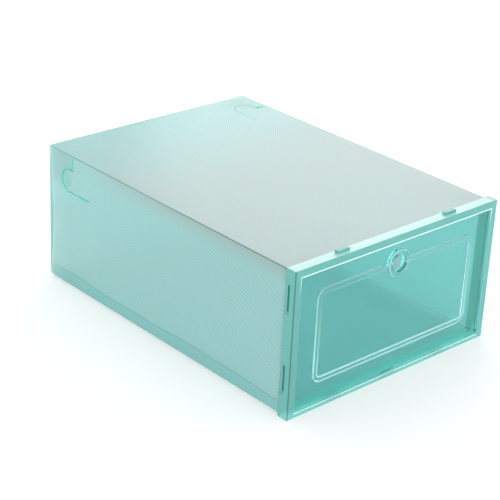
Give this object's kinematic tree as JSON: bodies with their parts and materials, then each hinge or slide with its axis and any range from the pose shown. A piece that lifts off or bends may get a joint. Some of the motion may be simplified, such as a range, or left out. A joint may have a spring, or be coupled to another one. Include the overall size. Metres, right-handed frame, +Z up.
{
  "type": "shoe box",
  "caption": "Foldable drop-front shoe box: creased translucent sheet sleeve, moulded front frame with stacking tabs, and a clear hinged door with a finger ring.",
  "frame": {"origin": "on the resting surface, under the middle of the box's length and width", "axes": "+Z up, -Y out of the door, +X to the right of someone facing the door from behind it, that is from the slotted wall to the tabbed wall"},
  "size_m": [0.2415, 0.33, 0.1361],
  "materials": {
    "sheet": "translucent mint polypropylene sheet with a fine embossed diagonal texture",
    "frame": "moulded semi-translucent mint plastic, smooth",
    "door": "clear moulded plastic with a faint mint tint, smooth"
  },
  "bodies": {
    "box": {"front_frame": "frame", "bottom_panel": "sheet", "top_panel": "sheet", "left_panel": "sheet", "right_panel": "sheet", "glue_lap": "sheet"},
    "door": {"door": "door"},
    "top_leaf": {"rear_top_leaf": "sheet", "rear_top_ear": "sheet"},
    "left_leaf": {"rear_left_leaf": "sheet", "rear_left_ear": "sheet"},
    "bottom_leaf": {"rear_bottom_leaf": "sheet", "rear_bottom_ear": "sheet"},
    "right_leaf": {"rear_right_leaf": "sheet", "rear_right_ear": "sheet"}
  },
  "joints": [
    {"name": "door_hinge", "type": "hinge", "parent": "box", "child": "door", "pos_m": [0, -0.1631, 0.0076], "axis": [1, 0, 0], "range_deg": [0, 90]},
    {"name": "top_leaf_fold", "type": "hinge", "parent": "box", "child": "top_leaf", "pos_m": [0, 0.165, 0.13175], "axis": [1, 0, 0], "range_deg": [0, 90]},
    {"name": "left_leaf_fold", "type": "hinge", "parent": "box", "child": "left_leaf", "pos_m": [-0.11775, 0.165, 0.04], "axis": [0, 0, 1], "range_deg": [0, 90]},
    {"name": "bottom_leaf_fold", "type": "hinge", "parent": "box", "child": "bottom_leaf", "pos_m": [0, 0.165, 0.00175], "axis": [-1, 0, 0], "range_deg": [0, 90]},
    {"name": "right_leaf_fold", "type": "hinge", "parent": "box", "child": "right_leaf", "pos_m": [0.11775, 0.165, 0.09], "axis": [0, 0, -1], "range_deg": [0, 90]}
  ]
}
